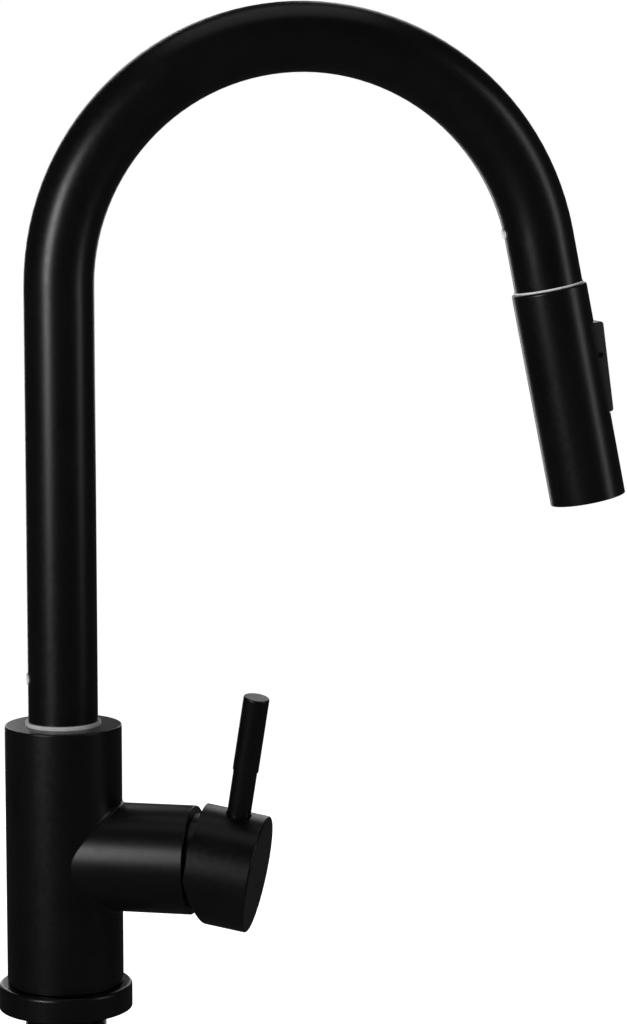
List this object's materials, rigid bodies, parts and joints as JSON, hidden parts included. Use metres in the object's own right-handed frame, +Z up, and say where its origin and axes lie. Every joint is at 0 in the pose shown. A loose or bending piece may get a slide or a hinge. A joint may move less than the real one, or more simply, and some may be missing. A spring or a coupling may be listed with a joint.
{
  "type": "pull-down kitchen faucet",
  "caption": "Single-hole gooseneck kitchen faucet in satin black, with a side lever and a pull-down spray head that has a rocker switch.",
  "frame": {"origin": "on the riser's axis, at the deck plane under the base", "axes": "+Z up along the riser, +X towards the spout's end at rest, side lever at -21 degrees about Z"},
  "size_m": [0.2592, 0.0775, 0.4942],
  "materials": {
    "satin_black": "satin black baked coating",
    "white_nylon": "natural nylon",
    "steel": "plain stainless",
    "brass": "machined brass",
    "black_rubber": "moulded rubber",
    "grey_plastic": "moulded acetal",
    "black_plastic": "moulded ABS",
    "grey_silicone": "soft silicone",
    "ceramic": "lapped alumina",
    "braided_hose": "nylon braid"
  },
  "bodies": {
    "base": {"faucet_body": "satin_black", "base_flange": "satin_black", "base_gasket": "black_rubber", "shank": "satin_black", "deck_gasket": "black_rubber", "deck_washer": "steel", "mounting_nut": "brass", "clamp_screws": "steel", "retaining_screw": "steel", "outlet_nipple": "steel", "lower_hose": "braided_hose", "hose_coupler": "brass", "cartridge_housing": "grey_plastic", "cartridge_seals": "black_rubber", "fixed_disc": "ceramic", "cartridge_nut": "brass", "bonnet_ring": "satin_black"},
    "spout": {"spout_tube": "satin_black", "glide_ring": "white_nylon", "swivel_insert": "white_nylon", "docking_insert": "white_nylon", "pull_hose": "braided_hose"},
    "spray_head": {"head_shell": "satin_black", "dock_collar": "grey_plastic", "hose_ferrule": "steel", "hose_nut": "brass", "inlet_washer": "black_rubber", "waterway_core": "grey_plastic", "toggle_bracket": "steel", "toggle_pin": "satin_black", "core_seal": "black_rubber", "nozzle_plate": "black_plastic", "spray_nozzles": "grey_silicone", "aerator": "steel"},
    "toggle": {"toggle_rocker": "black_plastic"},
    "diverter": {"diverter_plunger": "brass"},
    "turret": {"cartridge_rotor": "white_nylon", "stem_pin": "steel"},
    "valve_disc": {"moving_disc": "ceramic"},
    "handle": {"cartridge_stem": "steel", "handle_cap": "satin_black", "lever_rod": "satin_black", "lever_grip": "satin_black", "set_screw": "steel", "screw_plug": "satin_black"}
  },
  "joints": [
    {"name": "spout_swivel", "type": "hinge", "parent": "base", "child": "spout", "pos_m": [0, 0, 0.1], "axis": [0, 0, 1], "continuous": true},
    {"name": "head_pull", "type": "slide", "parent": "spout", "child": "spray_head", "axis": [0.1977, 0, -0.9803], "range_m": [0, 0.45], "stiffness_N_per_m": 6, "springref_m": -0.75},
    {"name": "toggle_rock", "type": "hinge", "parent": "spray_head", "child": "toggle", "pos_m": [0.21988, 0, 0.26281], "axis": [0, 1, 0], "range_deg": [-6.3, 0.3]},
    {"name": "diverter_slide", "type": "slide", "parent": "spray_head", "child": "diverter", "axis": [0.9803, 0, 0.1977], "range_m": [0, 0.00178]},
    {"name": "lever_turn", "type": "hinge", "parent": "base", "child": "turret", "pos_m": [0, 0, 0.063], "axis": [0.9317, -0.3633, 0], "range_deg": [-56.7, 43.3]},
    {"name": "lever_tilt", "type": "hinge", "parent": "turret", "child": "handle", "pos_m": [0.04863, -0.01896, 0.063], "axis": [0.3608, 0.9253, 0.1167], "range_deg": [-10, 12]},
    {"name": "disc_slide", "type": "slide", "parent": "turret", "child": "valve_disc", "axis": [-0.0424, -0.1087, 0.9932], "range_m": [-0.0021, 0.0025]}
  ],
  "couplings": [
    {"joint": "toggle_rock", "follows": "diverter_slide", "rad_per_m": -58.824},
    {"joint": "disc_slide", "follows": "lever_tilt", "m_per_rad": 0.0115}
  ]
}
